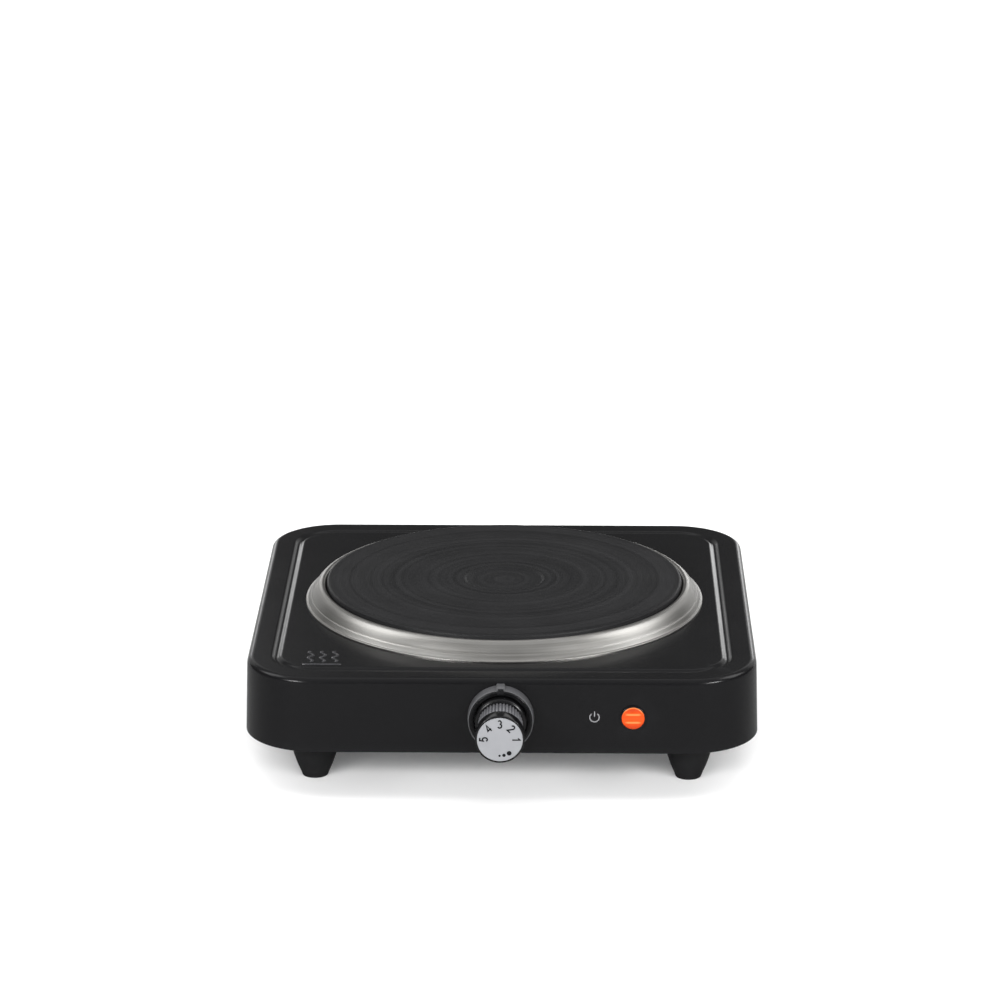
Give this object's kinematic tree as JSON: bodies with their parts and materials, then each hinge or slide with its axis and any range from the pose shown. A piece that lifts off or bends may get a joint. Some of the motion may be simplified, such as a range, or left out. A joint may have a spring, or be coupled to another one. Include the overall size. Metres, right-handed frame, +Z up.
{
  "type": "hot plate burner",
  "caption": "Square black countertop hot plate on feet, with a round cast-iron plate in a steel ring, a front heat knob, a pilot lamp and a rear cord inlet.",
  "frame": {"origin": "centre of the overall footprint, on the surface the feet stand on", "axes": "+Z up through the cooking plate; the front with the knob and the lamp faces -Y, the cord inlet faces +Y; +X is to the right seen from the front"},
  "size_m": [0.25, 0.292, 0.0716],
  "materials": {
    "case_enamel": "satin black enamel",
    "cover_zinc": "bright zinc-plated sheet",
    "rubber_black": "matt",
    "ring_steel": "turned and brushed stainless",
    "plate_iron": "heat-resistant black coating, turned marks",
    "coil_alloy": "oxidised resistance alloy",
    "cement": "matt magnesia cement",
    "plain_steel": "plain zinc-plated steel",
    "aluminised": "aluminised sheet",
    "ceramic_white": "glazed steatite",
    "brass": "bright",
    "bimetal": "rolled bimetal",
    "lever_board": "moulded phenolic",
    "cam_resin": "moulded resin",
    "knob_black": "satin black moulding",
    "knob_grey": "grey ribbed moulding",
    "dial_silver": "silver dial face",
    "lens_orange": "clear orange, lit",
    "lamp_white": "white nylon",
    "neon_glass": "clear",
    "nylon_natural": "natural nylon",
    "sleeve_brown": "silicone sleeve",
    "sleeve_black": "silicone sleeve",
    "sleeve_blue": "silicone sleeve",
    "sleeve_grey": "silicone sleeve",
    "sleeve_earth": "silicone sleeve"
  },
  "bodies": {
    "base": {"top_housing": "case_enamel", "bottom_cover": "cover_zinc", "corner_bracket_fl": "plain_steel", "corner_bracket_fr": "plain_steel", "corner_bracket_rl": "plain_steel", "corner_bracket_rr": "plain_steel", "foot_fl": "rubber_black", "foot_fr": "rubber_black", "foot_rl": "rubber_black", "foot_rr": "rubber_black", "foot_washers": "plain_steel", "foot_screws": "plain_steel", "trim_ring": "ring_steel", "hot_plate": "plate_iron", "coil_inner": "coil_alloy", "coil_middle": "coil_alloy", "coil_outer": "coil_alloy", "coil_cement": "cement", "element_cover": "plain_steel", "centre_stud": "plain_steel", "crossbar": "plain_steel", "heat_shield": "aluminised", "centre_washer": "plain_steel", "centre_nut": "plain_steel", "plate_terminal": "ceramic_white", "plate_terminal_screws": "brass", "control_frame": "plain_steel", "control_nut": "plain_steel", "stack_insulator": "ceramic_white", "stack_screw": "plain_steel", "bimetal_strip": "bimetal", "contact_blade_upper": "brass", "contact_blade_lower": "brass", "lever_pin": "plain_steel", "knob_collar": "knob_black", "lamp_lens": "lens_orange", "lamp_body": "lamp_white", "lamp_neon": "neon_glass", "lamp_clip": "plain_steel", "gland_clip": "plain_steel", "cord_clamp_base": "nylon_natural", "cord_clamp_saddle": "nylon_natural", "cord_clamp_screws": "plain_steel", "terminal_block": "nylon_natural", "terminal_screws": "brass", "earth_screw": "brass", "lead_live_in": "sleeve_brown", "lead_live_plate": "sleeve_black", "lead_neutral": "sleeve_blue", "lead_lamp": "sleeve_grey", "lead_earth": "sleeve_earth", "cord_gland": "rubber_black"},
    "knob": {"control_shaft": "plain_steel", "control_cam": "cam_resin", "knob_core": "knob_black", "knob_grip": "knob_grey", "knob_rim": "knob_black", "knob_dial": "dial_silver", "knob_clip": "plain_steel"},
    "contact_lever": {"contact_lever": "lever_board"}
  },
  "joints": [
    {"name": "knob_turn", "type": "hinge", "parent": "base", "child": "knob", "pos_m": [0, -0.12494, 0.0423], "axis": [0, 1, 0], "range_deg": [-147, 90]},
    {"name": "lever_swing", "type": "hinge", "parent": "base", "child": "contact_lever", "pos_m": [-0.013, -0.10694, 0.0499], "axis": [0, 1, 0], "range_deg": [-4.16, 6.79]}
  ],
  "couplings": [
    {"joint": "lever_swing", "follows": "knob_turn", "ratio": -0.046154}
  ]
}
